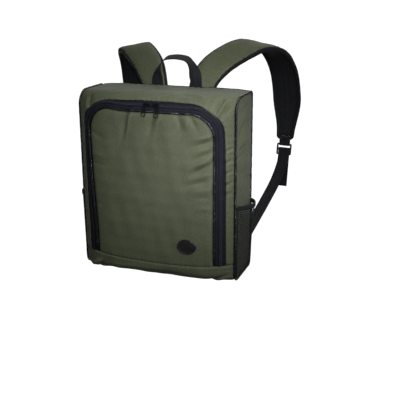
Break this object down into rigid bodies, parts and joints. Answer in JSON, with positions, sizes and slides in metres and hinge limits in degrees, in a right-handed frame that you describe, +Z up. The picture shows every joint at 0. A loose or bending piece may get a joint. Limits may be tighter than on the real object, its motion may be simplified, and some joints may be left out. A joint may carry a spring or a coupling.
{
  "type": "backpack",
  "caption": "Soft upright backpack with a U-shaped zip round its front panel, net side pockets, padded shoulder straps on buckled webbing and a carrying loop.",
  "frame": {"origin": "midway between the two shoulder straps, under their highest points, where they sit on the shoulders", "axes": "+Z up, -Y out of the bag's front, +Y towards the wearer, +X to the right of someone who looks at the front"},
  "size_m": [0.4336, 0.3701, 0.4601],
  "materials": {
    "olive_cloth": "plain-woven olive polyester with a faint sheen",
    "spacer_mesh": "black padded air mesh",
    "piping": "black coated piping, glossy",
    "zip_tape": "navy-black woven tape",
    "zip_coil": "black nylon coil",
    "black_metal": "black painted metal, satin",
    "patch_leather": "bare black patch, satin",
    "pocket_net": "black knitted net",
    "black_webbing": "black woven webbing",
    "buckle_plastic": "black moulded plastic, satin"
  },
  "bodies": {
    "bag": {"opening_panel": "olive_cloth", "front_border": "olive_cloth", "top_panel": "olive_cloth", "base_panel": "olive_cloth", "back_panel": "spacer_mesh", "side_panel_left": "olive_cloth", "side_panel_right": "olive_cloth", "side_piping_left": "piping", "side_piping_right": "piping", "panel_piping": "piping", "zip_tape_inner": "zip_tape", "zip_tape_outer": "zip_tape", "zip_coil": "zip_coil", "zip_slider_left": "black_metal", "zip_slider_right": "black_metal", "patch": "patch_leather", "pocket_net_left": "pocket_net", "pocket_net_right": "pocket_net", "pocket_elastic_left": "black_webbing", "pocket_elastic_right": "black_webbing", "strap_face_left": "olive_cloth", "strap_face_right": "olive_cloth", "strap_pad_left": "spacer_mesh", "strap_pad_right": "spacer_mesh", "strap_binding_left": "black_webbing", "strap_binding_right": "black_webbing", "buckle_tab_left": "black_webbing", "buckle_tab_right": "black_webbing", "buckle_left": "buckle_plastic", "buckle_right": "buckle_plastic", "lower_webbing_left": "black_webbing", "lower_webbing_right": "black_webbing", "carrying_loop": "black_webbing"},
    "pull_left": {"zip_pull_left": "black_metal"},
    "pull_right": {"zip_pull_right": "black_metal"}
  },
  "joints": [
    {"name": "left_pull_hinge", "type": "hinge", "parent": "bag", "child": "pull_left", "pos_m": [-0.0077, -0.2474, -0.0791], "axis": [-0.999, -0.0367, 0.0251], "range_deg": [0, 30]},
    {"name": "right_pull_hinge", "type": "hinge", "parent": "bag", "child": "pull_right", "pos_m": [0.018, -0.2467, -0.0797], "axis": [-0.9999, -0.011, 0.007], "range_deg": [0, 30]}
  ]
}
